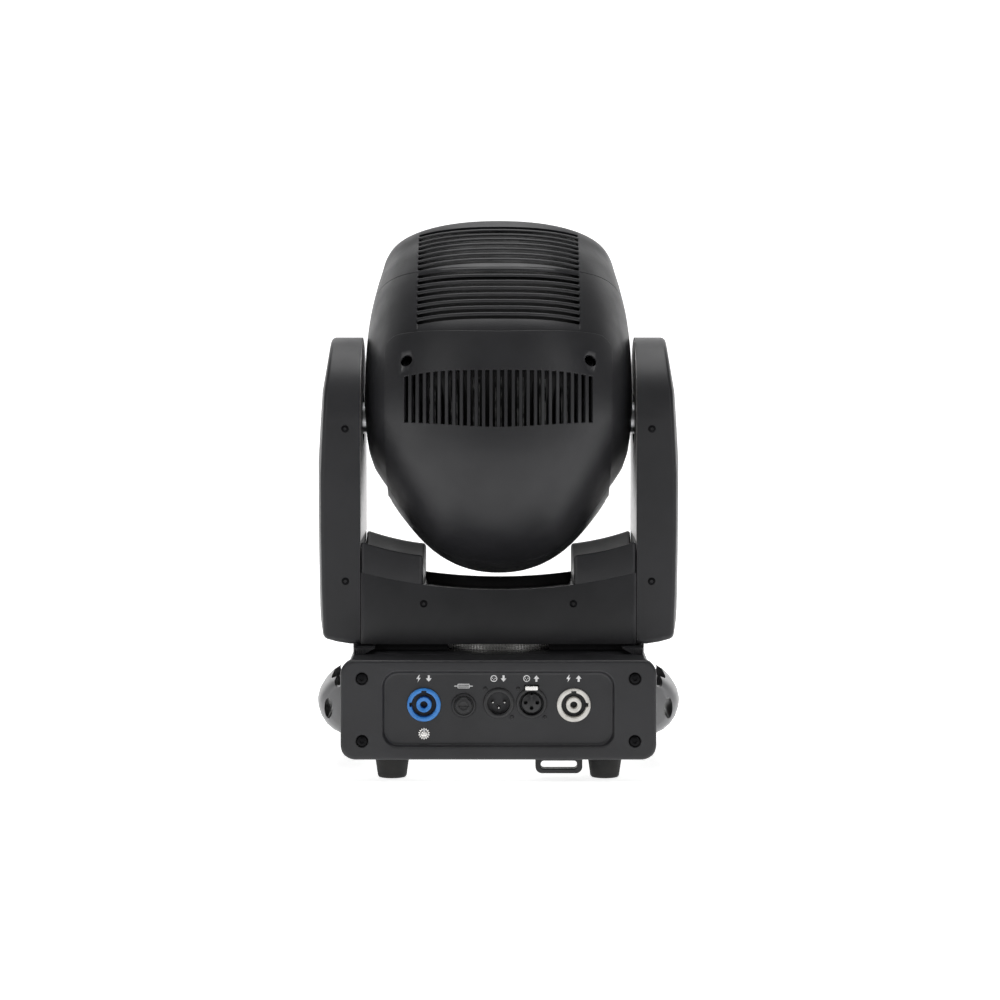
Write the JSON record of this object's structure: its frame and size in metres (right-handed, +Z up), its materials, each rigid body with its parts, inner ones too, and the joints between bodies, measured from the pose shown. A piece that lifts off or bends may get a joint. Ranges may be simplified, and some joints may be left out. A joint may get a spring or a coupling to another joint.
{
  "type": "moving head light",
  "caption": "Moving head stage light: a box base with connectors and handles, a panning yoke and a tilting lamp head with a large front lens.",
  "frame": {"origin": "the pan axis where it meets the underside of the base, at the centre of the clamp fastener holes; the feet reach 16.4 mm below it", "axes": "+Z up along the pan axis, +X to the right seen from the connector side, -Y towards the connector side; the tilt axis is parallel to X"},
  "size_m": [0.278, 0.2536, 0.4167],
  "materials": {
    "bearing_steel": "ground steel",
    "belt_rubber": "toothed belt",
    "black_paint": "satin black",
    "black_plastic": "fine satin moulded grain",
    "black_screw": "black oxide",
    "blue_connector": "semi-gloss blue",
    "bright_metal": "nickel plate",
    "button_plastic": "semi-gloss",
    "circuit_board": "green solder mask",
    "connector_black": "satin black",
    "display_glass": "dark tinted window",
    "foot_rubber": "matt",
    "grip_plastic": "satin grey moulding",
    "inner_cover_paint": "satin black powder coat",
    "led_ceramic": "white board",
    "lens_glass": "clear optical glass",
    "machined_aluminium": "machined",
    "motor_black": "satin",
    "ribbed_metal": "bright machined teeth",
    "white_connector": "semi-gloss off-white",
    "zinc_steel": "zinc plated sheet"
  },
  "bodies": {
    "base": {"base_cover": "black_plastic", "base_chassis": "zinc_steel", "rear_panel": "black_plastic", "front_panel": "black_plastic", "display_window": "display_glass", "display_board": "circuit_board", "safety_anchor": "black_plastic", "feet": "foot_rubber", "handles": "grip_plastic", "pan_bearing": "bearing_steel", "pan_ring": "ribbed_metal", "power_supply": "zinc_steel", "power_inlet": "blue_connector", "power_outlet": "white_connector", "fuse_holder": "connector_black", "data_input": "connector_black", "data_output": "connector_black", "ground_screw": "bright_metal", "end_plate_screws": "black_screw"},
    "yoke": {"arm_cover_right": "black_plastic", "arm_cover_left": "black_plastic", "arm_inner_covers": "inner_cover_paint", "arm_plates": "zinc_steel", "crossbar_cover_rear": "black_plastic", "crossbar_cover_front": "black_plastic", "yoke_frame": "zinc_steel", "pan_spindle": "machined_aluminium", "pan_motor": "motor_black", "pan_belt": "belt_rubber", "tilt_motor": "motor_black", "tilt_belt": "belt_rubber", "tilt_bearings": "bearing_steel", "yoke_screws": "black_screw"},
    "head": {"head_crown": "black_plastic", "head_shell_rear": "black_plastic", "head_shell_front": "black_plastic", "tail_cap": "black_plastic", "lens_bezel": "black_paint", "front_lens": "lens_glass", "head_chassis": "zinc_steel", "heatsink": "machined_aluminium", "led_engine": "led_ceramic", "fan_frame": "motor_black", "wheel_motors": "motor_black", "guide_rods": "bearing_steel", "tilt_axles": "machined_aluminium", "tilt_pulley": "machined_aluminium", "cap_screws": "black_screw"},
    "pan_drive": {"pan_motor_pulley": "machined_aluminium"},
    "tilt_drive": {"tilt_motor_pulley": "machined_aluminium"},
    "menu_button": {"menu_button": "button_plastic"},
    "up_button": {"up_button": "button_plastic"},
    "down_button": {"down_button": "button_plastic"},
    "enter_button": {"enter_button": "button_plastic"},
    "data_latch": {"data_latch": "bright_metal"},
    "fan_rotor": {"fan_rotor": "motor_black"},
    "colour_wheel": {"colour_wheel": "machined_aluminium"},
    "gobo_wheel": {"gobo_wheel": "machined_aluminium"},
    "focus_carriage": {"focus_carriage": "machined_aluminium", "focus_lens": "lens_glass"}
  },
  "joints": [
    {"name": "pan", "type": "hinge", "parent": "base", "child": "yoke", "pos_m": [0, 0, 0.0803], "axis": [0, 0, 1], "range_deg": [-270, 270]},
    {"name": "tilt", "type": "hinge", "parent": "yoke", "child": "head", "pos_m": [0, 0, 0.2489], "axis": [1, 0, 0], "range_deg": [-65, 115]},
    {"name": "pan_motor_spin", "type": "hinge", "parent": "yoke", "child": "pan_drive", "pos_m": [0.082, 0, 0.086], "axis": [0, 0, 1], "range_deg": [-1830, 1830]},
    {"name": "tilt_motor_spin", "type": "hinge", "parent": "yoke", "child": "tilt_drive", "pos_m": [-0.119, 0, 0.106], "axis": [1, 0, 0], "range_deg": [-470, 470]},
    {"name": "menu_press", "type": "slide", "parent": "base", "child": "menu_button", "axis": [0, -1, 0], "range_m": [0, 0.0012], "stiffness_N_per_m": 400, "springref_m": -0.0005},
    {"name": "up_press", "type": "slide", "parent": "base", "child": "up_button", "axis": [0, -1, 0], "range_m": [0, 0.0012], "stiffness_N_per_m": 400, "springref_m": -0.0005},
    {"name": "down_press", "type": "slide", "parent": "base", "child": "down_button", "axis": [0, -1, 0], "range_m": [0, 0.0012], "stiffness_N_per_m": 400, "springref_m": -0.0005},
    {"name": "enter_press", "type": "slide", "parent": "base", "child": "enter_button", "axis": [0, -1, 0], "range_m": [0, 0.0012], "stiffness_N_per_m": 400, "springref_m": -0.0005},
    {"name": "latch_press", "type": "slide", "parent": "base", "child": "data_latch", "axis": [0, 1, 0], "range_m": [0, 0.002], "stiffness_N_per_m": 400, "springref_m": -0.0005},
    {"name": "fan_spin", "type": "hinge", "parent": "head", "child": "fan_rotor", "pos_m": [0, -0.03085, 0.18274], "axis": [0, 0.4226, 0.9063], "continuous": true},
    {"name": "colour_spin", "type": "hinge", "parent": "head", "child": "colour_wheel", "pos_m": [0, 0.02948, 0.2506], "axis": [0, 0.4226, 0.9063], "continuous": true},
    {"name": "gobo_spin", "type": "hinge", "parent": "head", "child": "gobo_wheel", "pos_m": [0, -0.01427, 0.27983], "axis": [0, 0.4226, 0.9063], "continuous": true},
    {"name": "focus_travel", "type": "slide", "parent": "head", "child": "focus_carriage", "axis": [0, 0.4226, 0.9063], "range_m": [-0.014, 0.02]}
  ],
  "couplings": [
    {"joint": "pan_motor_spin", "follows": "pan", "ratio": -6.75},
    {"joint": "tilt_motor_spin", "follows": "tilt", "ratio": 4}
  ]
}
